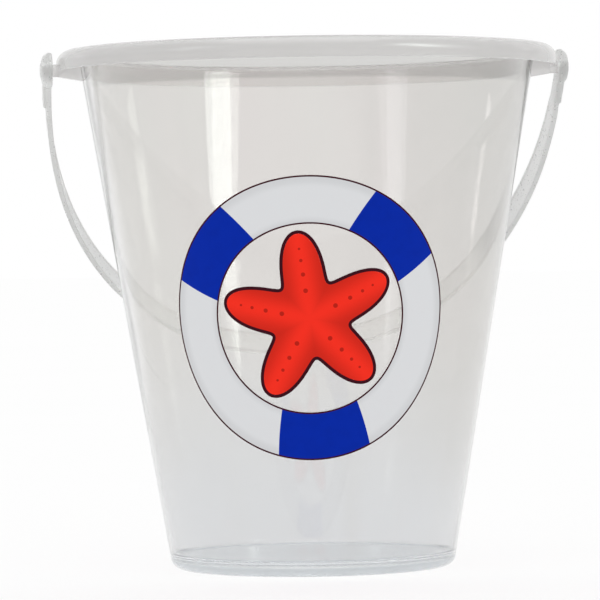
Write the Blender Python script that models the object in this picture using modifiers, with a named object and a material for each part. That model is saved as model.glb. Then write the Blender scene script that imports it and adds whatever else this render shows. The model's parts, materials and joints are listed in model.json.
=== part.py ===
"""A clear tapered pail with a rolled rim, a strap bail that swings on two side pegs, and a round
printed emblem on the front wall. Metres, +Z up, the front faces -Y and the pegs lie along X."""

import math

import bmesh
import bpy
from mathutils import Matrix, Vector

# Pail: overall sizes. The base radius is the wall's outside, carried down to the ground.
HEIGHT = 0.228
RIM_RADIUS = 0.110
BASE_RADIUS = 0.062
WALL = 0.0016

# Pail: rim, floor and foot. The overhang is from the wall's outside to the rim's.
RIM_OVERHANG = 0.00924
SKIRT_DEPTH = 0.0091
RIM_SHOULDER_RADIUS = 0.0060
RIM_INNER_FILLET = 0.0030
SKIRT_EDGE_RADIUS = 0.0006
FLANGE_ROOT_FILLET = 0.0015
FLOOR_TOP = 0.0055
FLOOR_UNDERSIDE = 0.0036
FLOOR_FILLET = 0.0030
FOOT_OUTER_RADIUS = 0.0050
FOOT_WIDTH = 0.0070
FOOT_INNER_TAPER = 0.0012
FOOT_INNER_FILLET = 0.0010

# Pegs and the ribs that carry them, one pair on each side.
PIVOT_BELOW_TOP = 0.0090
PEG_RADIUS = 0.0028
PEG_INTO_RIM = 0.0013
PEG_CHAMFER = 0.0004
RIB_THICKNESS = 0.0048
RIB_INSIDE_RIM = 0.0008
RIB_UNDER_PEG = 0.0001
RIB_DROP_AT_WALL = 0.0048
RIB_INTO_WALL = 0.0008

# Handle. Its span follows the rim: each eye clears the skirt, and holds a peg in a blind bore.
EYE_RADIUS = 0.0079
EYE_CLEAR_OF_RIM = 0.0022
EYE_THICKNESS = 0.0051
EYE_SKIN = 0.0017
EYE_BORE_CLEARANCE = 0.0003
EYE_BORE_END_GAP = 0.0004
STRAP_INTO_EYE = 0.0014
HANDLE_DEPTH = 0.1485
HANDLE_SQUARENESS = 2.22
STRAP_WIDTH = 0.0144
STRAP_THICKNESS = 0.0023
STRAP_EDGE_RADIUS = 0.0005
NECK_WIDTH = 0.0090
NECK_LENGTH = 0.0180
NECK_FLARE = 0.0035
SHOULDER_WIDTH = 0.0114
WIDENING_LENGTH = 0.0450
NECK_RIB_WIDTH = 0.0064
NECK_RIB_BELOW_FACE = 0.0011
NECK_RIB_LENGTH = 0.0185
NECK_RIB_SLOPE = 0.0015
REST_GAP = 0.0004

# Printed emblem on the front wall: a striped ring round a plain five-armed star.
EMBLEM_HEIGHT = 0.1105
EMBLEM_TURN = -8.0
RING_OUTER_RADIUS = 0.0609
RING_WIDTH = 0.0206
KEYLINE_WIDTH = 0.0007
BAND_HALF_ANGLE_INNER = 23.0
BAND_HALF_ANGLE_OUTER = 19.0
BAND_ANGLES = (5.5, 132.5, -122.0)
STAR_CLEAR_OF_RING = 0.0038
STAR_WAIST_RADIUS = 0.0165
STAR_OUTLINE_WIDTH = 0.0012
STAR_TURN = 8.0
INK_THICKNESS = 0.00025
INK_OFF_WALL = 0.00030
INK_GAP = 0.00020

# Fineness of the meshes.
WALL_STEPS = 96
FINE_CORNER_FROM = 0.0025
FINE_CORNER = 4
COARSE_CORNER = 2
PEG_STEPS = 32
EYE_STEPS = 40
PATH_STEPS = 96
INK_STEP_DEGREES = 4.0
INK_STEP = 0.0055
STAR_STEPS = 60

# What follows from the sizes above.
WALL_SLOPE = (RIM_RADIUS - RIM_OVERHANG - BASE_RADIUS) / HEIGHT
PIVOT_Z = HEIGHT - PIVOT_BELOW_TOP
FOOT_INNER_EDGE = BASE_RADIUS - FOOT_WIDTH
EYE_INNER_FACE = RIM_RADIUS + EYE_CLEAR_OF_RIM
EYE_OUTER_FACE = EYE_INNER_FACE + EYE_THICKNESS
PEG_ROOT = RIM_RADIUS - PEG_INTO_RIM
PEG_END = EYE_OUTER_FACE - EYE_SKIN - EYE_BORE_END_GAP
RIB_END = RIM_RADIUS - RIB_INSIDE_RIM
HANDLE_HALF_SPAN = EYE_INNER_FACE + STRAP_INTO_EYE
NECK_RIB_OUT = EYE_OUTER_FACE - NECK_RIB_BELOW_FACE
RING_INNER_RADIUS = RING_OUTER_RADIUS - RING_WIDTH
STAR_ARM_RADIUS = RING_INNER_RADIUS - STAR_CLEAR_OF_RING


def clear_scene():
    for obj in list(bpy.data.objects):
        bpy.data.objects.remove(obj)


def collection(name):
    made = bpy.data.collections.new(name)
    bpy.context.scene.collection.children.link(made)
    return made


def material(name, colour, roughness, transmission=0.0):
    made = bpy.data.materials.new(name)
    made.use_nodes = True
    shader = made.node_tree.nodes["Principled BSDF"]
    shader.inputs["Base Color"].default_value = (*colour, 1.0)
    shader.inputs["Roughness"].default_value = roughness
    shader.inputs["Transmission Weight"].default_value = transmission
    made.diffuse_color = (*colour, 1.0)
    return made


def object_from(bm, name, into, surface=None):
    mesh = bpy.data.meshes.new(name)
    bm.to_mesh(mesh)
    bm.free()
    made = bpy.data.objects.new(name, mesh)
    into.objects.link(made)
    if surface:
        mesh.materials.append(surface)
    return made


def helper(bm, name, into):
    """A shape that only feeds a Boolean."""
    made = object_from(bm, name, into)
    made.hide_render = True
    made.display_type = "WIRE"
    return made


def rounded(corners):
    """The (r, z) line through these (r, z, fillet) corners, with each corner rounded."""
    line = []
    last = len(corners) - 1
    for i, (r, z, radius) in enumerate(corners):
        here = Vector((r, z))
        if radius == 0 or i in (0, last):
            line.append(here)
            continue
        back = (Vector(corners[i - 1][:2]) - here).normalized()
        ahead = (Vector(corners[i + 1][:2]) - here).normalized()
        half = back.angle(ahead) / 2
        centre = here + (back + ahead).normalized() * radius / math.sin(half)
        start = here + back * radius / math.tan(half) - centre
        end = here + ahead * radius / math.tan(half) - centre
        sweep = start.angle_signed(end)
        steps = COARSE_CORNER if radius < FINE_CORNER_FROM else FINE_CORNER
        for k in range(steps + 1):
            turn = Matrix.Rotation(-sweep * k / steps, 2)
            line.append(centre + turn @ start)
    return line


def turned(name, line, steps, into, surface=None):
    """The solid that this (r, z) line sweeps out about Z. Both ends of the line are on the axis."""
    bm = bmesh.new()
    verts = [bm.verts.new((r, 0.0, z)) for r, z in line]
    for a, b in zip(verts, verts[1:]):
        bm.edges.new((a, b))
    made = object_from(bm, name, into, surface)
    screw = made.modifiers.new("turn", "SCREW")
    screw.axis = "Z"
    screw.steps = steps
    screw.render_steps = steps
    screw.use_merge_vertices = True
    screw.merge_threshold = 0.00001
    return made


def join(target, other, operation):
    boolean = target.modifiers.new(other.name, "BOOLEAN")
    boolean.operation = operation
    boolean.solver = "EXACT"
    boolean.object = other


def wall_outside(z):
    return BASE_RADIUS + WALL_SLOPE * z


def wall_inside(z):
    return wall_outside(z) - WALL * math.sqrt(1 + WALL_SLOPE**2)


def body_line():
    skirt = HEIGHT - SKIRT_DEPTH
    under = HEIGHT - WALL
    within = RIM_RADIUS - WALL
    return rounded(
        [
            (0.0, FLOOR_TOP, 0.0),
            (wall_inside(FLOOR_TOP), FLOOR_TOP, FLOOR_FILLET),
            (wall_inside(HEIGHT), HEIGHT, RIM_INNER_FILLET),
            (RIM_RADIUS, HEIGHT, RIM_SHOULDER_RADIUS),
            (RIM_RADIUS, skirt, SKIRT_EDGE_RADIUS),
            (within, skirt, SKIRT_EDGE_RADIUS),
            (within, under, RIM_SHOULDER_RADIUS - WALL),
            (wall_outside(under), under, FLANGE_ROOT_FILLET),
            (wall_outside(0.0), 0.0, FOOT_OUTER_RADIUS),
            (FOOT_INNER_EDGE, 0.0, FOOT_INNER_FILLET / 2),
            (FOOT_INNER_EDGE - FOOT_INNER_TAPER, FLOOR_UNDERSIDE, FOOT_INNER_FILLET),
            (0.0, FLOOR_UNDERSIDE, 0.0),
        ]
    )


def prism(points, thickness):
    """A block with this (x, z) outline, centred on y = 0."""
    bm = bmesh.new()
    verts = [bm.verts.new((x, -thickness / 2, z)) for x, z in points]
    face = bm.faces.new(verts)
    grown = bmesh.ops.extrude_face_region(bm, geom=[face])
    moved = [v for v in grown["geom"] if isinstance(v, bmesh.types.BMVert)]
    bmesh.ops.translate(bm, verts=moved, vec=(0.0, thickness, 0.0))
    bmesh.ops.recalc_face_normals(bm, faces=bm.faces)
    return bm


def rib(side):
    low_at_peg = PIVOT_Z - PEG_RADIUS - RIB_UNDER_PEG
    low_at_wall = PIVOT_Z - RIB_DROP_AT_WALL
    top = HEIGHT - WALL / 2
    return prism(
        [
            (side * RIB_END, low_at_peg),
            (side * RIB_END, top - RIM_SHOULDER_RADIUS),
            (side * (RIM_RADIUS - RIM_SHOULDER_RADIUS), top),
            (side * (wall_outside(top) - RIB_INTO_WALL), top),
            (side * (wall_outside(low_at_wall) - RIB_INTO_WALL), low_at_wall),
        ],
        RIB_THICKNESS,
    )


def rod_line(radius, start, end, chamfer):
    return [(0.0, end), (radius - chamfer, end), (radius, end - chamfer), (radius, start), (0.0, start)]


def lie_along_x(obj, side):
    obj.rotation_euler = (0.0, side * math.pi / 2, 0.0)


def build_body(parts, helpers, surface):
    body = turned("bucket_body", body_line(), WALL_STEPS, parts, surface)
    for side, word in ((-1, "left"), (1, "right")):
        carrier = helper(rib(side), f"rib_{word}", helpers)
        join(body, carrier, "UNION")
        line = rod_line(PEG_RADIUS, PEG_ROOT, PEG_END, PEG_CHAMFER)
        peg = turned(f"peg_{word}", line, PEG_STEPS, helpers)
        peg.hide_render = True
        peg.display_type = "WIRE"
        peg.location.z = PIVOT_Z
        lie_along_x(peg, side)
        join(body, peg, "UNION")
    return body


def handle_path():
    """(x, depth) along the handle, from the left eye round to the right one."""
    power = 2.0 / HANDLE_SQUARENESS
    path = [(-HANDLE_HALF_SPAN, -STRAP_THICKNESS)]
    for k in range(PATH_STEPS + 1):
        turn = math.pi * (1.0 - k / PATH_STEPS)
        across = math.copysign(abs(math.cos(turn)) ** power, math.cos(turn))
        path.append((HANDLE_HALF_SPAN * across, HANDLE_DEPTH * abs(math.sin(turn)) ** power))
    path.append((HANDLE_HALF_SPAN, -STRAP_THICKNESS))
    return path


def eased(value, start, length):
    """0 until start, 1 after start + length, and smoothly between."""
    t = min(max((value - start) / length, 0.0), 1.0)
    return t * t * (3.0 - 2.0 * t)


def strap_width(depth):
    flare = eased(depth, NECK_LENGTH, NECK_FLARE)
    widening = eased(depth, NECK_LENGTH + NECK_FLARE, WIDENING_LENGTH)
    width = NECK_WIDTH + (SHOULDER_WIDTH - NECK_WIDTH) * flare
    return width + (STRAP_WIDTH - SHOULDER_WIDTH) * widening


def evened(path, spacing):
    """The same path with points at even distances, so that the strap has no long or tiny faces."""
    lengths = [0.0]
    for a, b in zip(path, path[1:]):
        lengths.append(lengths[-1] + math.dist(a, b))
    count = round(lengths[-1] / spacing)
    even, i = [], 0
    for k in range(count + 1):
        want = lengths[-1] * k / count
        while i < len(path) - 2 and lengths[i + 1] < want:
            i += 1
        t = (want - lengths[i]) / (lengths[i + 1] - lengths[i])
        even.append(tuple(p + (q - p) * t for p, q in zip(path[i], path[i + 1])))
    return even


def build_strap(parts, surface):
    bm = bmesh.new()
    rows = []
    for x, depth in evened(handle_path(), 0.0034):
        half = strap_width(depth) / 2
        rows.append([bm.verts.new((x, y, -depth)) for y in (-half, half)])
    for (a, b), (c, d) in zip(rows, rows[1:]):
        bm.faces.new((a, b, d, c))
    bmesh.ops.recalc_face_normals(bm, faces=bm.faces)
    strap = object_from(bm, "handle", parts, surface)
    strap.location = (0.0, 0.0, PIVOT_Z)
    thick = strap.modifiers.new("thickness", "SOLIDIFY")
    thick.thickness = STRAP_THICKNESS
    thick.offset = 0.0
    soft = strap.modifiers.new("edges", "BEVEL")
    soft.width = STRAP_EDGE_RADIUS
    soft.segments = 2
    soft.limit_method = "ANGLE"
    soft.angle_limit = math.radians(60.0)
    return strap


def eye_line():
    dome = EYE_OUTER_FACE - EYE_INNER_FACE
    return [
        (0.0, EYE_OUTER_FACE),
        (EYE_RADIUS * 0.35, EYE_OUTER_FACE - dome * 0.05),
        (EYE_RADIUS * 0.62, EYE_OUTER_FACE - dome * 0.18),
        (EYE_RADIUS * 0.85, EYE_OUTER_FACE - dome * 0.42),
        (EYE_RADIUS, EYE_OUTER_FACE - dome * 0.70),
        (EYE_RADIUS, EYE_INNER_FACE + dome * 0.16),
        (EYE_RADIUS * 0.93, EYE_INNER_FACE),
        (0.0, EYE_INNER_FACE),
    ]


def build_handle(parts, helpers, surface):
    strap = build_strap(parts, surface)
    for side, word in ((-1, "left"), (1, "right")):
        eye = turned(f"eye_{word}", eye_line(), EYE_STEPS, helpers)
        inner = HANDLE_HALF_SPAN
        outline = [
            (side * inner, 0.0),
            (side * NECK_RIB_OUT, 0.0),
            (side * NECK_RIB_OUT, NECK_RIB_SLOPE - NECK_RIB_LENGTH),
            (side * (inner + STRAP_THICKNESS / 2), -NECK_RIB_LENGTH),
            (side * inner, -NECK_RIB_LENGTH),
        ]
        neck = helper(prism(outline, NECK_RIB_WIDTH), f"neck_{word}", helpers)
        bore_end = PEG_END + EYE_BORE_END_GAP
        bore_radius = PEG_RADIUS + EYE_BORE_CLEARANCE
        line = rod_line(bore_radius, RIM_RADIUS, bore_end, PEG_CHAMFER)
        bore = turned(f"bore_{word}", line, PEG_STEPS, helpers)
        for extra in (eye, bore):
            extra.hide_render = True
            extra.display_type = "WIRE"
            lie_along_x(extra, side)
        for extra in (eye, neck, bore):
            extra.parent = strap
        join(strap, eye, "UNION")
        join(strap, neck, "UNION")
        join(strap, bore, "DIFFERENCE")
    strap.rotation_euler = (rest_angle(), 0.0, 0.0)
    return strap


def rest_angle():
    """How far back from hanging straight the strap leans when its lower edge meets the wall."""
    low, high = 0.1, 1.4
    reach = HANDLE_DEPTH - STRAP_THICKNESS / 2
    for _ in range(40):
        angle = (low + high) / 2
        y = reach * math.sin(angle) - STRAP_WIDTH / 2 * math.cos(angle)
        z = PIVOT_Z - reach * math.cos(angle) - STRAP_WIDTH / 2 * math.sin(angle)
        if y - wall_outside(z) > REST_GAP:
            high = angle
        else:
            low = angle
    return high


def on_wall(u, v, lift):
    """Where a flat emblem's point (u across, v up) lies once it is wrapped on the tapered wall."""
    slant = math.sqrt(1 + WALL_SLOPE**2)
    sine = WALL_SLOPE / slant
    centre = wall_outside(EMBLEM_HEIGHT) / sine
    reach = math.hypot(centre + v, u)
    turn = math.atan2(u, centre + v) / sine + math.radians(EMBLEM_TURN)
    radius = reach * sine
    z = (radius - BASE_RADIUS) / WALL_SLOPE
    radius += lift / slant
    z -= lift * sine
    return (radius * math.sin(turn), -radius * math.cos(turn), z)


def ink(name, rows, closed, parts, body, surface):
    """A thin film whose middle surface is this grid of (u, v) rows. closed joins each row's ends."""
    bm = bmesh.new()
    grid = [[bm.verts.new(on_wall(u, v, INK_OFF_WALL)) for u, v in row] for row in rows]
    for low, high in zip(grid, grid[1:]):
        count = len(low)
        for k in range(count if closed else count - 1):
            n = (k + 1) % count
            bm.faces.new((low[k], low[n], high[n], high[k]))
    bmesh.ops.remove_doubles(bm, verts=bm.verts, dist=0.00001)
    bmesh.ops.recalc_face_normals(bm, faces=bm.faces)
    front = max(bm.faces, key=lambda f: f.calc_area())
    if front.normal.y > 0:
        bmesh.ops.reverse_faces(bm, faces=bm.faces)
    made = object_from(bm, name, parts, surface)
    made.parent = body
    thick = made.modifiers.new("thickness", "SOLIDIFY")
    thick.thickness = INK_THICKNESS
    thick.offset = 1.0
    return made


def polar(radius, degrees):
    """Angles count from straight down, towards +X."""
    turn = math.radians(degrees)
    return (radius * math.sin(turn), -radius * math.cos(turn))


def strips(length):
    """How many strips a film needs so that each lies close to the curved wall."""
    return math.ceil(length / INK_STEP)


def sector_rows(start, end):
    """start and end give an edge's angle at a fraction of the way out from the ring's inside."""
    inner = RING_INNER_RADIUS + KEYLINE_WIDTH + INK_GAP
    outer = RING_OUTER_RADIUS - KEYLINE_WIDTH - INK_GAP
    steps = max(2, math.ceil((end(0.5) - start(0.5)) / INK_STEP_DEGREES))
    count = strips(RING_WIDTH)
    made = []
    for i in range(count + 1):
        out = i / count
        radius = inner + (outer - inner) * out
        gap = math.degrees(INK_GAP / 2 / radius)
        low, high = start(out) + gap, end(out) - gap
        made.append([polar(radius, low + (high - low) * k / steps) for k in range(steps + 1)])
    return made


def circle_rows(inner, outer):
    count = round(360 / INK_STEP_DEGREES)
    return [[polar(r, 360 * k / count) for k in range(count)] for r in (inner, outer)]


def star_edge(degrees):
    wave = (1 + math.cos(math.radians(5 * (degrees - 180.0 - STAR_TURN)))) / 2
    return STAR_WAIST_RADIUS + (STAR_ARM_RADIUS - STAR_WAIST_RADIUS) * wave**1.15


def star_rows():
    angles = [360 * k / STAR_STEPS for k in range(STAR_STEPS)]
    count = strips(STAR_ARM_RADIUS)
    return [[polar(star_edge(a) * i / count, a) for a in angles] for i in range(count + 1)]


def star_outline_rows():
    """Two closed rows, each the star's edge moved out square to itself."""
    angles = [360 * k / STAR_STEPS for k in range(STAR_STEPS)]
    points = [Vector(polar(star_edge(a), a)) for a in angles]
    rows = []
    for away in (INK_GAP, INK_GAP + STAR_OUTLINE_WIDTH):
        row = []
        for k, point in enumerate(points):
            along = points[(k + 1) % STAR_STEPS] - points[k - 1]
            out = Vector((along.y, -along.x)).normalized()
            row.append(tuple(point + out * away))
        rows.append(row)
    return rows


def build_emblem(parts, body):
    blue = material("ink_blue", (0.0, 0.02, 0.35), 0.35)
    white = material("ink_white", (0.75, 0.76, 0.79), 0.35)
    red = material("ink_red", (0.72, 0.02, 0.01), 0.35)
    dark = material("ink_dark", (0.04, 0.004, 0.01), 0.35)

    def edge(centre, side):
        def angle(out):
            half = BAND_HALF_ANGLE_INNER + (BAND_HALF_ANGLE_OUTER - BAND_HALF_ANGLE_INNER) * out
            return centre + side * half

        return angle

    count = len(BAND_ANGLES)
    for k in range(count):
        here = BAND_ANGLES[k]
        after = BAND_ANGLES[(k + 1) % count]
        if after < here:
            after += 360.0
        rows = sector_rows(edge(here, -1), edge(here, 1))
        ink(f"print_blue_band_{k + 1}", rows, False, parts, body, blue)
        rows = sector_rows(edge(here, 1), edge(after, -1))
        ink(f"print_white_band_{k + 1}", rows, False, parts, body, white)
    rows = circle_rows(RING_OUTER_RADIUS - KEYLINE_WIDTH, RING_OUTER_RADIUS)
    ink("print_keyline_outer", rows, True, parts, body, dark)
    rows = circle_rows(RING_INNER_RADIUS, RING_INNER_RADIUS + KEYLINE_WIDTH)
    ink("print_keyline_inner", rows, True, parts, body, dark)
    ink("print_star", star_rows(), True, parts, body, red)
    ink("print_star_outline", star_outline_rows(), True, parts, body, dark)


def main():
    clear_scene()
    parts = collection("clear_pail_with_strap_handle")
    helpers = collection("helpers")
    clear = material("clear_plastic", (0.80, 0.80, 0.80), 0.05, 0.9)
    frosted = material("translucent_plastic", (0.74, 0.74, 0.75), 0.30, 0.6)
    body = build_body(parts, helpers, clear)
    build_handle(parts, helpers, frosted)
    build_emblem(parts, body)


main()
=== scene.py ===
"""Builds a clear seaside pail with a cloudy strap handle and a printed ring-and-star emblem."""

import json
import math

import bmesh
import bpy
from bpy.props import FloatProperty, FloatVectorProperty, IntProperty, PointerProperty
from mathutils import Matrix, Quaternion, Vector


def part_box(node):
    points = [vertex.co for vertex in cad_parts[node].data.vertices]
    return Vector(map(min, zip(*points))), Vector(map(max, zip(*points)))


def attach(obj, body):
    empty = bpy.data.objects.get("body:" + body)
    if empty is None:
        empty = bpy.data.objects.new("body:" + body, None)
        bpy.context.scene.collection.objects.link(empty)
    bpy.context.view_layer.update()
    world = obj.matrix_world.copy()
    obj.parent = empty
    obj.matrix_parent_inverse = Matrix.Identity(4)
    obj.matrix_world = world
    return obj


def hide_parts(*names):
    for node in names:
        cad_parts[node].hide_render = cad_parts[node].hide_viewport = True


bl_info = {
    "name": "Clear Seaside Pail",
    "version": (1, 0, 0),
    "blender": (4, 5, 0),
    "location": "3D View > Sidebar > Pail",
    "description": "Builds a clear tapered pail with a strap handle and a printed emblem",
    "category": "Add Mesh",
}

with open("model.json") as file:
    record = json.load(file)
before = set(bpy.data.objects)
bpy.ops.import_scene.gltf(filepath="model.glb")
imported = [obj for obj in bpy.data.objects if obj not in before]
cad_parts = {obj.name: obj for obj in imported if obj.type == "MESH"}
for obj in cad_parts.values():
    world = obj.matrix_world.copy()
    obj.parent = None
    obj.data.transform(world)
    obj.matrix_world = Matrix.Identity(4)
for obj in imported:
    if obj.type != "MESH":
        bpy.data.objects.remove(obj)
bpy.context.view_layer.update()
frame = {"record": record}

PAIL_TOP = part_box("bucket_body")[1].z
PAIL_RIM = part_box("bucket_body")[1].y
PIVOT_HEIGHT = frame["record"]["behaviour"]["joints"][0]["pos_m"][2]


# Sizes and colours a user would change.


class PailSizes(bpy.types.PropertyGroup):
    height: FloatProperty(
        name="Height", description="From the ground to the top of the rim", default=PAIL_TOP, unit="LENGTH"
    )
    rim_radius: FloatProperty(
        name="Rim radius", description="Out to the skirt of the rim", default=PAIL_RIM, unit="LENGTH"
    )
    base_radius: FloatProperty(
        name="Base radius", description="Of the wall's outside, carried down to the ground", default=0.062,
        unit="LENGTH",
    )
    slope: FloatProperty(
        name="Wall slope", description="How far the wall leans out for its rise", default=0.170
    )
    wall: FloatProperty(name="Wall", description="Thickness of the wall", default=0.0016, unit="LENGTH")
    skirt: FloatProperty(
        name="Skirt", description="How far the rim turns down", default=0.0091, unit="LENGTH"
    )
    shoulder: FloatProperty(
        name="Shoulder", description="Outer radius of the rim's turn", default=0.0060, unit="LENGTH"
    )
    floor_top: FloatProperty(
        name="Floor", description="Height of the inside floor", default=0.0055, unit="LENGTH"
    )
    peg_radius: FloatProperty(
        name="Peg radius", description="Of the two pegs that carry the handle", default=0.0028, unit="LENGTH"
    )
    steps: IntProperty(name="Steps", description="Faces round the pail", default=256, min=48)
    tint: FloatVectorProperty(
        name="Tint", description="Colour of the clear plastic", subtype="COLOR", default=(0.842, 0.834, 0.818)
    )
    rim_tint: FloatVectorProperty(
        name="Rim tint", description="Colour of the hazy rim", subtype="COLOR", default=(0.715, 0.708, 0.700)
    )
    base_tint: FloatVectorProperty(
        name="Base tint", description="Colour of the hazy floor and foot", subtype="COLOR",
        default=(0.70, 0.73, 0.75),
    )


class HandleSizes(bpy.types.PropertyGroup):
    half_span: FloatProperty(
        name="Half span", description="From the middle to the strap", default=0.1136, unit="LENGTH"
    )
    depth: FloatProperty(
        name="Depth", description="From the pivot to the bottom of the loop", default=0.1485, unit="LENGTH"
    )
    squareness: FloatProperty(
        name="Squareness", description="2 is an ellipse, more is squarer", default=2.22, min=1.5, max=4.0
    )
    width: FloatProperty(name="Width", description="Width of the strap", default=0.0144, unit="LENGTH")
    thickness: FloatProperty(
        name="Thickness", description="Thickness of the strap", default=0.0023, unit="LENGTH"
    )
    eye_radius: FloatProperty(
        name="Eye radius", description="Of the round boss on each peg", default=0.0079, unit="LENGTH"
    )
    tint: FloatVectorProperty(
        name="Tint", description="Colour of the cloudy plastic", subtype="COLOR", default=(0.69, 0.695, 0.685)
    )


class EmblemSizes(bpy.types.PropertyGroup):
    centre_height: FloatProperty(
        name="Height", description="Of the emblem's centre", default=0.1105, unit="LENGTH"
    )
    turn: FloatProperty(
        name="Turn", description="Round the pail from the front", default=math.radians(-8.0), unit="ROTATION"
    )
    ring_outer: FloatProperty(
        name="Ring outside", description="Outer radius of the ring", default=0.0609, unit="LENGTH"
    )
    ring_inner: FloatProperty(
        name="Ring inside", description="Inner radius of the ring", default=0.0403, unit="LENGTH"
    )
    keyline: FloatProperty(
        name="Line", description="Width of the thin lines round the ring", default=0.0007, unit="LENGTH"
    )
    star_arm: FloatProperty(
        name="Star arm", description="From the star's centre to an arm's tip", default=0.0365, unit="LENGTH"
    )
    star_waist: FloatProperty(
        name="Star waist", description="From the centre to between two arms", default=0.0165, unit="LENGTH"
    )
    blue: FloatVectorProperty(
        name="Blue", description="Ink of the bands", subtype="COLOR", default=(0.0, 0.021, 0.36)
    )
    white: FloatVectorProperty(
        name="White", description="Ink of the ring", subtype="COLOR", default=(0.70, 0.71, 0.725)
    )
    red: FloatVectorProperty(
        name="Red", description="Ink of the star", subtype="COLOR", default=(0.78, 0.025, 0.012)
    )
    dark: FloatVectorProperty(
        name="Dark", description="Ink of the outlines", subtype="COLOR", default=(0.045, 0.004, 0.010)
    )


class StudioSettings(bpy.types.PropertyGroup):
    camera_turn: FloatProperty(
        name="Camera turn", description="Round the pail from the front", default=math.radians(-8.0),
        unit="ROTATION",
    )
    camera_distance: FloatProperty(
        name="Camera distance", description="From the pail's axis", default=1.696, unit="LENGTH"
    )
    camera_height: FloatProperty(
        name="Camera height", description="Above the ground", default=0.1393, unit="LENGTH"
    )
    lens: FloatProperty(name="Lens", description="Focal length in millimetres", default=231.0)


# Small tools for shaping meshes.

WELD = 2e-6


def deselect():
    if bpy.context.mode != "OBJECT":
        bpy.ops.object.mode_set(mode="OBJECT")
    bpy.ops.object.select_all(action="DESELECT")


def only(piece):
    deselect()
    piece.select_set(True)
    bpy.context.view_layer.objects.active = piece


def edit(piece, keep_where=None):
    """Opens a piece for editing, with all of it selected or only the points that keep_where picks."""
    only(piece)
    bpy.ops.object.mode_set(mode="EDIT")
    bpy.ops.mesh.select_mode(type="VERT")
    bpy.ops.mesh.select_all(action="SELECT")
    if keep_where:
        mesh = bmesh.from_edit_mesh(piece.data)
        for vert in mesh.verts:
            vert.select = keep_where(vert.co)
        mesh.select_flush_mode()
        bmesh.update_edit_mesh(piece.data)


def done():
    bpy.ops.object.mode_set(mode="OBJECT")


def near(spot):
    return lambda co: (co - spot).length < 1e-5


def one_point(name, place):
    """A piece that is one vertex, ready to be pulled out into a line."""
    deselect()
    bpy.ops.mesh.primitive_plane_add(size=0.001)
    piece = bpy.context.active_object
    piece.name = name
    piece.data.name = name
    edit(piece)
    bpy.ops.mesh.merge(type="CENTER")
    bpy.ops.transform.translate(value=place)
    done()
    return piece


def pull(vector):
    bpy.ops.mesh.extrude_region_move(TRANSFORM_OT_translate={"value": vector})


def drawn_line(name, corners):
    """A wire in the XZ plane through (x, z, fillet radius) corners, with each corner rounded."""
    segments_per_metre, fewest, most = 4000.0, 3, 14
    places = [Vector((x, 0.0, z)) for x, z, _ in corners]
    piece = one_point(name, places[0])
    edit(piece)
    for a, b in zip(places, places[1:]):
        bpy.ops.mesh.extrude_vertices_move(TRANSFORM_OT_translate={"value": b - a})
    done()
    for i in range(1, len(corners) - 1):
        radius = corners[i][2]
        if radius == 0:
            continue
        back, ahead = places[i - 1] - places[i], places[i + 1] - places[i]
        half = back.angle(ahead) / 2
        count = max(fewest, min(most, round(radius * segments_per_metre)))
        edit(piece, near(places[i]))
        bpy.ops.mesh.bevel(offset=radius / math.tan(half), segments=count, affect="VERTICES")
        done()
    return piece


def spun(piece, steps):
    """Spins a wire all the way round the Z axis, and closes the seam and the poles."""
    edit(piece)
    bpy.ops.mesh.spin(steps=steps, angle=math.tau, center=(0.0, 0.0, 0.0), axis=(0.0, 0.0, 1.0))
    bpy.ops.mesh.select_all(action="SELECT")
    bpy.ops.mesh.remove_doubles(threshold=WELD)
    bpy.ops.mesh.normals_make_consistent(inside=False)
    done()
    return piece


def apply_modifier(piece, kind, **settings):
    only(piece)
    made = piece.modifiers.new(kind.lower(), kind)
    for key, value in settings.items():
        setattr(made, key, value)
    bpy.ops.object.modifier_apply(modifier=made.name)


def combine(piece, other, operation):
    """Joins another solid to a piece, or cuts it away, and removes the other."""
    apply_modifier(piece, "BOOLEAN", operation=operation, solver="EXACT", object=other)
    mesh = other.data
    bpy.data.objects.remove(other)
    bpy.data.meshes.remove(mesh)


def smooth(piece, degrees=35.0):
    only(piece)
    bpy.ops.object.shade_smooth_by_angle(angle=math.radians(degrees))


def bake_place(piece):
    only(piece)
    bpy.ops.object.transform_apply(location=True, rotation=True, scale=True)


def turned_about_pivot(piece, side):
    """Lays a shape made about Z along the peg's axis, pointing out on this side."""
    piece.rotation_euler = (0.0, side * math.pi / 2, 0.0)
    bake_place(piece)


def lets_light_by(piece):
    """Clear plastic lights the ground behind it instead of shading it."""
    piece.visible_shadow = False
    piece.visible_diffuse = False


# Shader arithmetic.


class Wire:
    """A shader socket that takes part in arithmetic."""

    def __init__(self, graph, socket):
        self.graph = graph
        self.socket = socket

    def _math(self, operation, *values):
        node = self.graph.add("ShaderNodeMath", {"operation": operation}, dict(enumerate(values)))
        return Wire(self.graph, node.outputs[0])

    def __add__(self, other):
        return self._math("ADD", self, other)

    __radd__ = __add__

    def __sub__(self, other):
        return self._math("SUBTRACT", self, other)

    def __rsub__(self, other):
        return self._math("SUBTRACT", other, self)

    def __mul__(self, other):
        return self._math("MULTIPLY", self, other)

    __rmul__ = __mul__

    def __truediv__(self, other):
        return self._math("DIVIDE", self, other)

    def sin(self):
        return self._math("SINE", self)

    def cos(self):
        return self._math("COSINE", self)

    def root(self):
        return self._math("SQRT", self)

    def size(self):
        return (self * self).root()

    def wrap(self, low, high):
        return self._math("WRAP", self, high, low)

    def most(self, other):
        return self._math("MAXIMUM", self, other)

    def ease(self, start, end):
        """0 below start and 1 above end, smoothly between."""
        node = self.graph.add(
            "ShaderNodeMapRange",
            {"interpolation_type": "SMOOTHSTEP"},
            {"Value": self, "From Min": start, "From Max": end},
        )
        return Wire(self.graph, node.outputs["Result"])


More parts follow.
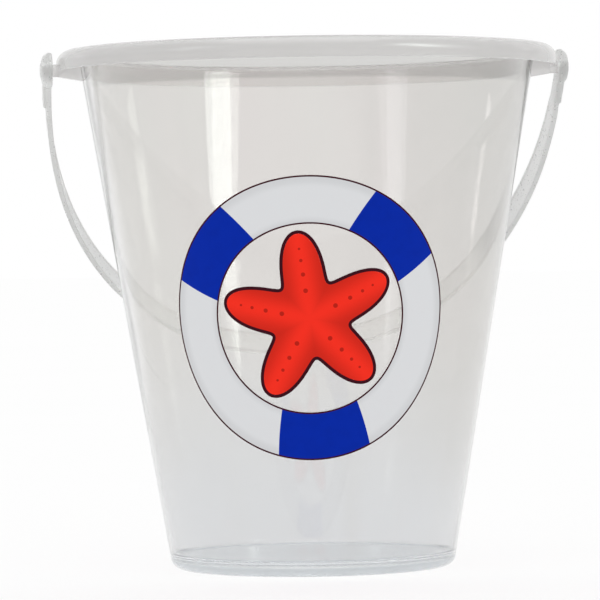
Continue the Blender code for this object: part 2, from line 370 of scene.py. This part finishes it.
class Graph:
    """The nodes of one material, round a single plastic shader."""

    def __init__(self, name):
        self.material = bpy.data.materials.new(name)
        self.material.use_nodes = True
        self.tree = self.material.node_tree
        self.shader = self.tree.nodes["Principled BSDF"]

    def add(self, kind, settings=None, inputs=None):
        node = self.tree.nodes.new(kind)
        for key, value in (settings or {}).items():
            setattr(node, key, value)
        for key, value in (inputs or {}).items():
            self.feed(node.inputs[key], value)
        return node

    def feed(self, socket, value):
        if isinstance(value, Wire):
            self.tree.links.new(value.socket, socket)
        elif isinstance(value, bpy.types.NodeSocket):
            self.tree.links.new(value, socket)
        else:
            socket.default_value = value

    def set(self, **values):
        for key, value in values.items():
            self.feed(self.shader.inputs[key.replace("_", " ")], value)

    def place(self, scale=(1.0, 1.0, 1.0)):
        """The piece's own coordinates, stretched."""
        source = self.add("ShaderNodeTexCoord").outputs["Object"]
        return self.add("ShaderNodeMapping", {}, {"Vector": source, "Scale": scale}).outputs["Vector"]

    def print_place(self):
        """(angle, distance) of the emblem's flat artwork, from the UV map, in turns and metres."""
        source = self.add("ShaderNodeUVMap", {"uv_map": "artwork"}).outputs["UV"]
        split = self.add("ShaderNodeSeparateXYZ", {}, {"Vector": source})
        return Wire(self, split.outputs["X"]), Wire(self, split.outputs["Y"])

    def xyz(self):
        """The place on the piece, in metres."""
        split = self.add("ShaderNodeSeparateXYZ", {}, {"Vector": self.place()})
        return [Wire(self, split.outputs[name]) for name in "XYZ"]

    def noise(self, scale, detail=2.0, stretch=(1.0, 1.0, 1.0)):
        inputs = {"Vector": self.place(stretch), "Scale": scale, "Detail": detail}
        return Wire(self, self.add("ShaderNodeTexNoise", {}, inputs).outputs["Fac"])

    def mix(self, factor, a, b):
        """Between two colours."""
        node = self.add("ShaderNodeMix", {"data_type": "RGBA"}, {"Factor": factor})
        for socket, value in ((node.inputs[6], a), (node.inputs[7], b)):
            self.feed(socket, value if isinstance(value, (Wire, bpy.types.NodeSocket)) else (*value, 1.0))
        return Wire(self, node.outputs[2])

    def bump(self, height, distance, strength=1.0, before=None):
        inputs = {"Height": height, "Distance": distance, "Strength": strength}
        if before:
            inputs["Normal"] = before
        return Wire(self, self.add("ShaderNodeBump", {}, inputs).outputs["Normal"])


def shade(colour, factor):
    return tuple(c * factor for c in colour)


def clear_plastic(sizes):
    """Polished clear moulding: cool at the base, faintly streaked, with painted shade towards the left and
    right edges and under the front of the rim, and a painted light strip at the left edge.
    """
    graph = Graph("clear_polished_plastic")
    tint = sizes.tint
    x, back, up = graph.xyz()
    streaks = graph.noise(30.0, 2.0, (1.0, 1.0, 0.06))
    blush = graph.noise(16.0, 1.0, (1.0, 1.0, 0.30))
    haze = graph.noise(60.0, 4.0)
    waves = graph.noise(30.0, 1.0, (1.0, 1.0, 0.30))
    cool = (tint[0] * 0.985, tint[1] * 1.002, tint[2] * 1.030)
    pink = (tint[0], tint[1] * 0.965, tint[2] * 0.98)
    wall = graph.mix(up.ease(0.02, 0.13), cool, tint)
    wall = graph.mix(blush.ease(0.50, 0.72) * up.ease(0.06, 0.14) * 0.5, wall, pink)
    wall = graph.mix(streaks.ease(0.50, 0.75) * 0.5, wall, shade(tint, 0.94))
    # Painted shade: the wall is darkened towards its left and right edges, more on the +X half.
    painted_side_shade_mask = x.size().ease(0.040, 0.095) * 0.40 + x.ease(0.020, 0.090) * 0.50
    wall = graph.mix(painted_side_shade_mask * up.ease(0.01, 0.06), wall, shade(tint, 0.90))
    # Painted light: a near-white strip along the left edge of the wall, starting a little above the foot.
    painted_left_edge_light = (x * -1.0 / (up * sizes.slope + sizes.base_radius)).ease(0.95, 0.98)
    wall = graph.mix(painted_left_edge_light * up.ease(0.04, 0.12), wall, (0.99, 0.99, 0.99))
    # Painted shade: a darker band on the front half of the wall, just under the rim.
    front = 1.0 - back.ease(-0.05, 0.0)
    painted_shade_under_rim = up.ease(sizes.height - 0.0175, sizes.height - 0.0160) * front
    graph.set(
        Base_Color=graph.mix(painted_shade_under_rim, wall, shade(tint, 0.79)),
        Roughness=0.030 + 0.03 * haze.ease(0.45, 0.8),
        Normal=graph.bump(waves, 0.0003, 0.5),
    )
    graph.set(Transmission_Weight=1.0, IOR=1.49)
    return graph.material


def hazy_plastic(name, tint, clearness, roughness, painted_edge_shade=1.0, painted_back_light=1.0):
    """The same moulding where it is thick and scatters light: the rim, and the floor with its foot. Its back
    and its far edges can carry painted light and shade.
    """
    graph = Graph(name)
    x, back, _ = graph.xyz()
    cloud = graph.noise(24.0, 3.0)
    waves = graph.noise(45.0, 1.0, (1.0, 1.0, 0.5))
    tone = graph.mix(cloud.ease(0.3, 0.7), tint, shade(tint, 0.95))
    # Painted light: the back half is scaled by the back factor, which the rim uses to paint its back lighter.
    tone = graph.mix(back.ease(-0.03, 0.03), tone, shade(tint, painted_back_light))
    # Painted shade: darker towards the far left and right edges, by the edge factor, which the rim uses.
    tone = graph.mix(x.size().ease(0.080, 0.108), tone, shade(tint, painted_edge_shade))
    graph.set(
        Base_Color=tone,
        Roughness=roughness + 0.05 * cloud,
        Normal=graph.bump(waves, 0.0003, 0.5),
    )
    graph.set(Transmission_Weight=clearness, IOR=1.49)
    return graph.material


def cloudy_plastic(tint):
    """The strap's translucent moulding, painted lighter in its middle than in its arms."""
    graph = Graph("cloudy_strap_plastic")
    x, _, _ = graph.xyz()
    flow = graph.noise(26.0, 3.0, (0.4, 1.0, 0.4))
    grain = graph.noise(900.0, 2.0)
    tone = graph.mix(flow.ease(0.3, 0.7), tint, shade(tint, 0.93))
    # Painted light: between the arms, where the strap lies behind the pail, the tint is raised to near white.
    arms = (x - 0.0075).size().ease(0.079, 0.088)
    graph.set(
        Base_Color=graph.mix(arms, shade(tint, 1.42), tone),
        Roughness=0.24 + 0.10 * grain,
        Normal=graph.bump(grain, 0.00003, 0.5, graph.bump(flow, 0.0003, 0.5)),
    )
    graph.set(Transmission_Weight=0.75, IOR=1.49)
    return graph.material


def ink(name, paint):
    """A printed ink: paint gives the colour from the graph, and the surface gets the print's grain."""
    graph = Graph(name)
    grain = graph.noise(1500.0, 2.0)
    tack = graph.noise(70.0, 3.0)
    graph.set(
        Base_Color=paint(graph),
        Roughness=0.30 + 0.08 * grain + 0.05 * tack,
        Normal=graph.bump(grain, 0.00001, 0.4),
    )
    graph.set(Specular_IOR_Level=0.05)
    return graph.material


# The pail.


def wall_outside(z, sizes):
    return sizes.base_radius + sizes.slope * z


def wall_inside(z, sizes):
    return wall_outside(z, sizes) - sizes.wall * math.sqrt(1 + sizes.slope**2)


def wall_profile(sizes):
    """(radius, height, fillet) from the middle of the floor, up inside, over the rim and down."""
    top, rim, wall = sizes.height, sizes.rim_radius, sizes.wall
    skirt, under = top - sizes.skirt, top - wall
    foot_edge, floor_under = 0.0550, 0.0036
    return [
        (0.0, sizes.floor_top, 0.0),
        (wall_inside(sizes.floor_top, sizes), sizes.floor_top, 0.0030),
        (wall_inside(top, sizes), top, 0.0030),
        (rim, top, sizes.shoulder),
        (rim, skirt, 0.0006),
        (rim - wall, skirt, 0.0006),
        (rim - wall, under, sizes.shoulder - wall),
        (wall_outside(under, sizes), under, 0.0015),
        (wall_outside(0.0, sizes), 0.0, 0.0050),
        (foot_edge, 0.0, 0.0006),
        (foot_edge - 0.0012, floor_under, 0.0010),
        (0.0, floor_under, 0.0),
    ]


def add_rib(sizes, side):
    """The web under the rim that carries a peg: a block whose lower edge drops towards the wall."""
    low_peg, low_wall = PIVOT_HEIGHT - 0.0029, PIVOT_HEIGHT - 0.0048
    end, thickness, into_wall = 0.1092, 0.0048, 0.0008
    top = sizes.height - sizes.wall / 2
    corners = [
        (end, low_peg),
        (end, top - sizes.shoulder),
        (sizes.rim_radius - sizes.shoulder, top),
        (wall_outside(top, sizes) - into_wall, top),
        (wall_outside(low_wall, sizes) - into_wall, low_wall),
    ]
    piece = one_point("rib", (side * end, -thickness / 2, low_peg))
    edit(piece)
    for (x0, z0), (x1, z1) in zip(corners, corners[1:]):
        bpy.ops.mesh.extrude_vertices_move(
            TRANSFORM_OT_translate={"value": (side * (x1 - x0), 0.0, z1 - z0)}
        )
    bpy.ops.mesh.select_all(action="SELECT")
    bpy.ops.mesh.edge_face_add()
    pull((0.0, thickness, 0.0))
    bpy.ops.mesh.select_all(action="SELECT")
    bpy.ops.mesh.normals_make_consistent(inside=False)
    done()
    return piece


def add_peg(sizes, side):
    radius, root, end, chamfer = sizes.peg_radius, 0.1087, 0.1152, 0.0004
    line = drawn_line("peg", [(0.0, end, 0.0), (radius, end, chamfer), (radius, root, 0.0), (0.0, root, 0.0)])
    spun(line, 48)
    turned_about_pivot(line, side)
    line.location.z = PIVOT_HEIGHT
    bake_place(line)
    return line


class PAIL_OT_shell(bpy.types.Operator):
    """Turns the clear pail and gives it its pegs"""

    bl_idname = "pail.shell"
    bl_label = "Clear pail"

    def execute(self, context):
        sizes = context.scene.pail_sizes
        shell = spun(drawn_line("pail_shell", wall_profile(sizes)), sizes.steps)
        for side in (-1, 1):
            combine(shell, add_rib(sizes, side), "UNION")
            combine(shell, add_peg(sizes, side), "UNION")
        smooth(shell)
        finishes = (
            clear_plastic(sizes),
            hazy_plastic("rim_plastic", sizes.rim_tint, 0.60, 0.14, painted_edge_shade=0.92, painted_back_light=1.22),
            hazy_plastic("base_plastic", sizes.base_tint, 0.55, 0.10),
        )
        for finish in finishes:
            shell.data.materials.append(finish)
        on_rim, on_base = 1, 2
        for face in shell.data.polygons:
            centre = face.center
            if math.hypot(centre.x, centre.y) > wall_outside(centre.z, sizes) + sizes.wall / 2:
                face.material_index = on_rim
            elif centre.z < sizes.floor_top + 0.0003:
                face.material_index = on_base
        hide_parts("bucket_body")
        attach(shell, "bucket")
        lets_light_by(shell)
        return {"FINISHED"}


# The handle.


def loop_path(sizes, count):
    """(x, depth) from the left pivot round to the right one, at even distances."""
    power, samples, above_pivot = 2.0 / sizes.squareness, 1200, 0.0022
    fine = []
    for k in range(samples + 1):
        turn = math.pi * (1.0 - k / samples)
        across = math.copysign(abs(math.cos(turn)) ** power, math.cos(turn))
        fine.append(Vector((sizes.half_span * across, sizes.depth * abs(math.sin(turn)) ** power)))
    fine = [Vector((-sizes.half_span, -above_pivot)), *fine, Vector((sizes.half_span, -above_pivot))]
    run = [0.0]
    for a, b in zip(fine, fine[1:]):
        run.append(run[-1] + (b - a).length)
    even, i = [], 0
    for k in range(count + 1):
        want = run[-1] * k / count
        while i < len(fine) - 2 and run[i + 1] < want:
            i += 1
        even.append(fine[i].lerp(fine[i + 1], (want - run[i]) / max(run[i + 1] - run[i], 1e-9)))
    return even


def eased(value, start, length):
    """0 until start, 1 after start + length, and smoothly between."""
    t = min(max((value - start) / length, 0.0), 1.0)
    return t * t * (3.0 - 2.0 * t)


def strap_width(depth, full):
    neck, shoulder, neck_length, flare, widening = 0.0090, 0.0114, 0.0180, 0.0035, 0.0450
    width = neck + (shoulder - neck) * eased(depth, neck_length, flare)
    return width + (full - shoulder) * eased(depth, neck_length + flare, widening)


def rest_angle(handle, pail):
    """How far back from hanging straight the strap leans when its lower edge meets the wall."""
    low, high, clearance = 0.1, 1.4, 0.0004
    reach = handle.depth - handle.thickness / 2
    for _ in range(40):
        angle = (low + high) / 2
        y = reach * math.sin(angle) - handle.width / 2 * math.cos(angle)
        z = PIVOT_HEIGHT - reach * math.cos(angle) - handle.width / 2 * math.sin(angle)
        if y - wall_outside(z, pail) > clearance:
            high = angle
        else:
            low = angle
    return high


def add_strap(sizes):
    """A ribbon pulled round the loop, thickened, with a slightly sunk face inside and out."""
    path = loop_path(sizes, 150)
    start = path[0]
    width = strap_width(start.y, sizes.width)
    strap = one_point("strap_handle", (start.x, -width / 2, -start.y))
    edit(strap)
    bpy.ops.mesh.extrude_vertices_move(TRANSFORM_OT_translate={"value": (0.0, width, 0.0)})
    bpy.ops.mesh.select_all(action="SELECT")
    for a, b in zip(path, path[1:]):
        pull((b.x - a.x, 0.0, a.y - b.y))
        wider = strap_width(b.y, sizes.width) / strap_width(a.y, sizes.width)
        bpy.ops.transform.resize(value=(1.0, wider, 1.0), center_override=(b.x, 0.0, -b.y))
    bpy.ops.mesh.select_all(action="SELECT")
    bpy.ops.mesh.normals_make_consistent(inside=False)
    done()
    apply_modifier(strap, "SOLIDIFY", thickness=sizes.thickness, offset=0.0)
    sink_faces(strap)
    apply_modifier(
        strap, "BEVEL", width=0.00035, segments=3, limit_method="ANGLE", angle_limit=math.radians(40.0)
    )
    return strap


def sink_faces(strap):
    """Leaves a raised lip along both edges of the strap, inside and out."""
    lip, slant, sunk = 0.0016, 0.0003, 0.0003
    for outward in (True, False):
        only(strap)
        bpy.ops.object.mode_set(mode="EDIT")
        bpy.ops.mesh.select_mode(type="FACE")
        bpy.ops.mesh.select_all(action="DESELECT")
        mesh = bmesh.from_edit_mesh(strap.data)
        for face in mesh.faces:
            centre = face.calc_center_median()
            out = face.normal.x * centre.x - face.normal.z * 0.04
            flat = abs(face.normal.y) < 0.3 and centre.z < -0.020
            face.select = flat and face.calc_area() > 1e-5 and (out > 0) == outward
        bmesh.update_edit_mesh(strap.data)
        bpy.ops.mesh.inset(thickness=lip, depth=0.0)
        bpy.ops.mesh.inset(thickness=slant, depth=-sunk)
        done()


def add_eye(sizes, side):
    """The domed round end of the strap that snaps over a peg."""
    face, back, radius = 0.1173, 0.1122, sizes.eye_radius
    dome = face - back
    line = drawn_line(
        "eye",
        [
            (0.0, face, 0.0),
            (radius * 0.30, face, 0.0030),
            (radius * 0.80, face - dome * 0.22, 0.0025),
            (radius, face - dome * 0.62, 0.0012),
            (radius, back, 0.0007),
            (0.0, back, 0.0),
        ],
    )
    spun(line, 72)
    turned_about_pivot(line, side)
    return line


def add_neck(sizes, side):
    """The block outside the strap that runs from the eye down to the flare."""
    deselect()
    inner, outer, width, length = sizes.half_span, 0.1162, 0.0064, 0.0185
    bpy.ops.mesh.primitive_cube_add(size=1.0)
    neck = bpy.context.active_object
    neck.scale = (outer - inner, width, length)
    neck.location = (side * (outer + inner) / 2, 0.0, -length / 2)
    bake_place(neck)
    edit(neck, lambda co: co.z < -length / 2 and abs(co.x) > (inner + outer) / 2)
    bpy.ops.transform.translate(value=(-side * 0.0006, 0.0, 0.0015))
    done()
    apply_modifier(
        neck, "BEVEL", width=0.0005, segments=3, limit_method="ANGLE", angle_limit=math.radians(30.0)
    )
    return neck


def add_bore(side):
    """The blind hole in an eye that turns on a peg."""
    radius, root, end, chamfer = 0.0031, 0.1095, 0.1156, 0.0004
    line = drawn_line(
        "bore", [(0.0, end, 0.0), (radius, end, chamfer), (radius, root, 0.0), (0.0, root, 0.0)]
    )
    spun(line, 48)
    turned_about_pivot(line, side)
    return line


class PAIL_OT_handle(bpy.types.Operator):
    """Makes the strap handle and lays it back against the pail"""

    bl_idname = "pail.handle"
    bl_label = "Strap handle"

    def execute(self, context):
        sizes, pail = context.scene.handle_sizes, context.scene.pail_sizes
        strap = add_strap(sizes)
        for side in (-1, 1):
            combine(strap, add_eye(sizes, side), "UNION")
            combine(strap, add_neck(sizes, side), "UNION")
            combine(strap, add_bore(side), "DIFFERENCE")
        strap.location.z = PIVOT_HEIGHT
        strap.rotation_euler.x = rest_angle(sizes, pail)
        bake_place(strap)
        smooth(strap)
        strap.data.materials.append(cloudy_plastic(sizes.tint))
        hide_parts("handle")
        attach(strap, "bail")
        lets_light_by(strap)
        return {"FINISHED"}


# The printed emblem. Its angles are in degrees from straight down, and its chart runs in tenths of a metre.

BLUE_BANDS = (5.5, 132.5, -122.0)
STAR_TURN = 8.0
INK_LIFT = 0.00006
INK_BODY = 0.00006
CHART = 10.0


def on_wall(u, v, emblem, pail):
    """Where a flat artwork's point (u across, v up) lies once it is wrapped on the tapered wall."""
    slant = math.sqrt(1 + pail.slope**2)
    sine = pail.slope / slant
    centre = wall_outside(emblem.centre_height, pail) / sine
    turn = math.atan2(u, centre + v) / sine + emblem.turn
    radius = math.hypot(centre + v, u) * sine
    z = (radius - pail.base_radius) / pail.slope - INK_LIFT * sine
    radius += INK_LIFT / slant
    return Vector((radius * math.sin(turn), -radius * math.cos(turn), z))


def film(name, around, outward, place, emblem, pail, surface, nodes):
    """A printed film: a grid whose point (s, t), each 0 to 1, goes to the angle and radius place gives."""
    deselect()
    bpy.ops.mesh.primitive_grid_add(x_subdivisions=around, y_subdivisions=outward, size=1.0)
    piece = bpy.context.active_object
    piece.name = name
    piece.data.name = name
    mesh = piece.data
    polar = {}
    for vert in mesh.vertices:
        degrees, radius = place(vert.co.x + 0.5, vert.co.y + 0.5)
        polar[vert.index] = (degrees, radius)
        turn = math.radians(degrees)
        vert.co = on_wall(radius * math.sin(turn), -radius * math.cos(turn), emblem, pail)
    chart = mesh.uv_layers[0]
    chart.name = "artwork"
    for loop in mesh.loops:
        degrees, radius = polar[loop.vertex_index]
        chart.data[loop.index].uv = (degrees / 360.0, radius * CHART)
    edit(piece)
    bpy.ops.mesh.remove_doubles(threshold=WELD)
    done()
    middle = mesh.polygons[len(mesh.polygons) // 2]
    if middle.normal.y > 0:
        edit(piece)
        bpy.ops.mesh.flip_normals()
        done()
    apply_modifier(piece, "SOLIDIFY", thickness=INK_BODY, offset=1.0)
    smooth(piece, 30.0)
    mesh.materials.append(surface)
    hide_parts(*nodes)
    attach(piece, "bucket")


def band_edge(centre, side, t):
    """The angle of a blue band's edge, from the ring's inside, t = 0, to its outside, t = 1."""
    inner, outer = 23.0, 19.0
    return centre + side * (inner + (outer - inner) * t)


def mottled(colour):
    return lambda graph: graph.mix(graph.noise(220.0, 3.0).ease(0.35, 0.75), colour, shade(colour, 0.93))


class PAIL_OT_ring(bpy.types.Operator):
    """Prints the striped ring and its thin outlines"""

    bl_idname = "pail.ring"
    bl_label = "Striped ring"

    def execute(self, context):
        emblem, pail = context.scene.emblem_sizes, context.scene.pail_sizes
        inner, outer = emblem.ring_inner + emblem.keyline, emblem.ring_outer - emblem.keyline

        def rounded_white(graph):
            _, out = graph.print_place()
            inside = out.ease(inner * CHART, (inner + 0.003) * CHART)
            outside = 1 - out.ease((outer - 0.0045) * CHART, (outer - 0.001) * CHART)
            return graph.mix(inside * outside, shade(emblem.white, 0.90), emblem.white)

        blue = ink("ink_blue", mottled(emblem.blue))
        white = ink("ink_white", rounded_white)
        dark = ink("ink_dark_lines", mottled(emblem.dark))
        for k, here in enumerate(BLUE_BANDS):
            after = BLUE_BANDS[(k + 1) % len(BLUE_BANDS)]
            after += 360.0 if after < here else 0.0

            def sector(start, end, start_side, end_side):
                def place(s, t):
                    low, high = band_edge(start, start_side, t), band_edge(end, end_side, t)
                    return low + (high - low) * s, inner + (outer - inner) * t

                return place

            film(
                f"print_band_blue_{k + 1}", 40, 16, sector(here, here, -1, 1), emblem, pail, blue,
                [f"print_blue_band_{k + 1}"],
            )
            film(
                f"print_band_white_{k + 1}", 80, 16, sector(here, after, 1, -1), emblem, pail, white,
                [f"print_white_band_{k + 1}"],
            )
        for word, low, high in (("outer", outer, emblem.ring_outer), ("inner", emblem.ring_inner, inner)):
            film(
                f"print_line_{word}", 360, 2, lambda s, t, a=low, b=high: (360.0 * s, a + (b - a) * t),
                emblem, pail, dark, [f"print_keyline_{word}"],
            )
        return {"FINISHED"}


def star_edge(degrees, emblem):
    """The star's radius in this direction."""
    wave = (1 + math.cos(math.radians(5 * (degrees - 180.0 - STAR_TURN)))) / 2
    return emblem.star_waist + (emblem.star_arm - emblem.star_waist) * wave**1.15


def star_outline(degrees, emblem, away):
    """(angle, radius) of the star's edge moved out square to itself."""

    def at(d):
        turn = math.radians(d)
        return Vector((math.sin(turn), -math.cos(turn))) * star_edge(d, emblem)

    along = (at(degrees + 0.2) - at(degrees - 0.2)).normalized()
    point = at(degrees) + Vector((along.y, -along.x)) * away
    return math.degrees(math.atan2(point.x, -point.y)), point.length


class PAIL_OT_star(bpy.types.Operator):
    """Prints the red star and its dark outline"""

    bl_idname = "pail.star"
    bl_label = "Star"

    def execute(self, context):
        emblem, pail = context.scene.emblem_sizes, context.scene.pail_sizes

        def paint(graph):
            angle, out = graph.print_place()
            lean = ((angle - (180.0 + STAR_TURN) / 360.0).wrap(-0.1, 0.1)) * math.tau
            across, along = lean.sin() * out, lean.cos() * out
            spine = across * across
            body = graph.mix(spine.root().ease(0.0, 0.09), shade(emblem.red, 1.15), shade(emblem.red, 0.78))
            dots = None
            for reach, size in ((0.12, 0.011), (0.19, 0.010), (0.25, 0.008), (0.30, 0.006)):
                away = (spine + (along - reach) * (along - reach)).root()
                dot = 1 - away.ease(size * 0.8, size)
                dots = dot if dots is None else dots.most(dot)
            return graph.mix(dots * 0.75, body, shade(emblem.red, 0.40))

        def edge_paint(graph):
            return graph.mix(graph.noise(220.0), emblem.dark, shade(emblem.dark, 0.8))

        red, dark = ink("ink_red", paint), ink("ink_dark_edge", edge_paint)
        film(
            "print_star_red", 240, 24, lambda s, t: (360.0 * s, star_edge(360.0 * s, emblem) * t),
            emblem, pail, red, ["print_star"],
        )
        film(
            "print_star_edge", 360, 2, lambda s, t: star_outline(360.0 * s, emblem, 0.0014 * t),
            emblem, pail, dark, ["print_star_outline"],
        )
        return {"FINISHED"}


# The studio.


def soft_light(name, turn, rise, size, power, lean=0.0, colour=(1.0, 1.0, 1.0), distance=1.1):
    """An area light: turn is its angle round the pail from the camera, rise its angle above the pail."""
    aim = Vector((0.0, 0.0, 0.12))
    deselect()
    bpy.ops.object.light_add(type="AREA")
    light = bpy.context.active_object
    light.name = name
    light.data.shape = "RECTANGLE"
    light.data.size, light.data.size_y = size
    light.data.energy = power
    light.data.color = colour
    turn = math.radians(turn) + bpy.context.scene.studio_settings.camera_turn
    flat = distance * math.cos(math.radians(rise))
    light.location = (
        flat * math.sin(turn), -flat * math.cos(turn), aim.z + distance * math.sin(math.radians(rise))
    )
    facing = (aim - light.location).to_track_quat("-Z", "Y")
    light.rotation_euler = (facing @ Quaternion((0.0, 0.0, 1.0), math.radians(lean))).to_euler()
    light.visible_diffuse = False


def add_camera(settings):
    deselect()
    bpy.ops.object.camera_add()
    camera = bpy.context.active_object
    turn = settings.camera_turn
    back = Vector((math.sin(turn), -math.cos(turn), 0.0))
    camera.location = back * settings.camera_distance + Vector((0.0, 0.0, settings.camera_height))
    right = Vector((math.cos(turn), math.sin(turn), 0.0))
    up = Vector((0.0, 0.0, 1.0))
    aim_right, aim_down, roll = -0.00253, 0.01298, 0.0145
    ahead = (-back + right * aim_right - up * aim_down).normalized()
    top = up + right * roll
    side = ahead.cross(top).normalized()
    camera.rotation_euler = Matrix((side, side.cross(ahead), -ahead)).transposed().to_euler()
    camera.data.lens = settings.lens
    camera.data.sensor_width = 36.0
    camera.data.clip_start, camera.data.clip_end = 0.05, 60.0
    bpy.context.scene.camera = camera


def add_floor():
    deselect()
    bpy.ops.mesh.primitive_plane_add(size=40.0)
    ground = bpy.context.active_object
    ground.name = "studio_floor"
    graph = Graph("pale_floor")
    cloud = graph.noise(3.0, 2.0)
    graph.set(Base_Color=graph.mix(cloud, (0.985, 0.985, 0.985), (0.995, 0.995, 0.995)))
    graph.set(Roughness=0.9, Specular_IOR_Level=0.0)
    ground.data.materials.append(graph.material)


def add_world():
    """Even pale light all round."""
    world = bpy.data.worlds.new("studio")
    world.use_nodes = True
    bpy.context.scene.world = world
    world.node_tree.nodes["Background"].inputs["Color"].default_value = (1.0, 1.0, 1.0, 1.0)


class PAIL_OT_stage(bpy.types.Operator):
    """Sets the floor, the lights and the camera"""

    bl_idname = "pail.stage"
    bl_label = "Stage"

    def execute(self, context):
        add_floor()
        add_world()
        add_camera(context.scene.studio_settings)
        soft_light("light_left", -54.0, 32.0, (0.18, 0.42), 0.40, lean=-30.0, colour=(0.93, 0.96, 1.0))
        soft_light("light_right", 53.5, 32.0, (0.225, 0.42), 1.7, lean=30.0, colour=(0.935, 1.0, 0.955))
        soft_light("light_far_left", -125.0, 18.0, (0.08, 0.09), 0.060, lean=20.0)
        soft_light(
            "light_far_right", 119.0, 20.0, (0.13, 0.07), 0.050, lean=-20.0, colour=(0.95, 1.0, 0.93)
        )
        soft_light("light_above", 0.0, 80.0, (1.2, 1.2), 4.0, distance=1.6)
        context.scene.view_settings.view_transform = "Standard"
        return {"FINISHED"}


class PAIL_PT_panel(bpy.types.Panel):
    """Lists the pail's pieces and sizes"""

    bl_label = "Clear pail"
    bl_idname = "PAIL_PT_panel"
    bl_space_type = "VIEW_3D"
    bl_region_type = "UI"
    bl_category = "Pail"

    def draw(self, context):
        for operator in OPERATORS:
            self.layout.operator(operator.bl_idname)
        for group in GROUPS:
            settings = getattr(context.scene, group)
            box = self.layout.box()
            for key in settings.bl_rna.properties.keys():
                if key not in ("rna_type", "name"):
                    box.prop(settings, key)


OPERATORS = (PAIL_OT_shell, PAIL_OT_handle, PAIL_OT_ring, PAIL_OT_star, PAIL_OT_stage)
GROUPS = {
    "pail_sizes": PailSizes,
    "handle_sizes": HandleSizes,
    "emblem_sizes": EmblemSizes,
    "studio_settings": StudioSettings,
}
CLASSES = (*GROUPS.values(), *OPERATORS, PAIL_PT_panel)


def register():
    for cls in CLASSES:
        bpy.utils.register_class(cls)
    for name, group in GROUPS.items():
        setattr(bpy.types.Scene, name, PointerProperty(type=group))


def unregister():
    for name in GROUPS:
        delattr(bpy.types.Scene, name)
    for cls in reversed(CLASSES):
        bpy.utils.unregister_class(cls)


def main():
    register()
    bpy.ops.pail.shell()
    bpy.ops.pail.handle()
    bpy.ops.pail.ring()
    bpy.ops.pail.star()
    bpy.ops.pail.stage()


if __name__ == "__main__":
    main()
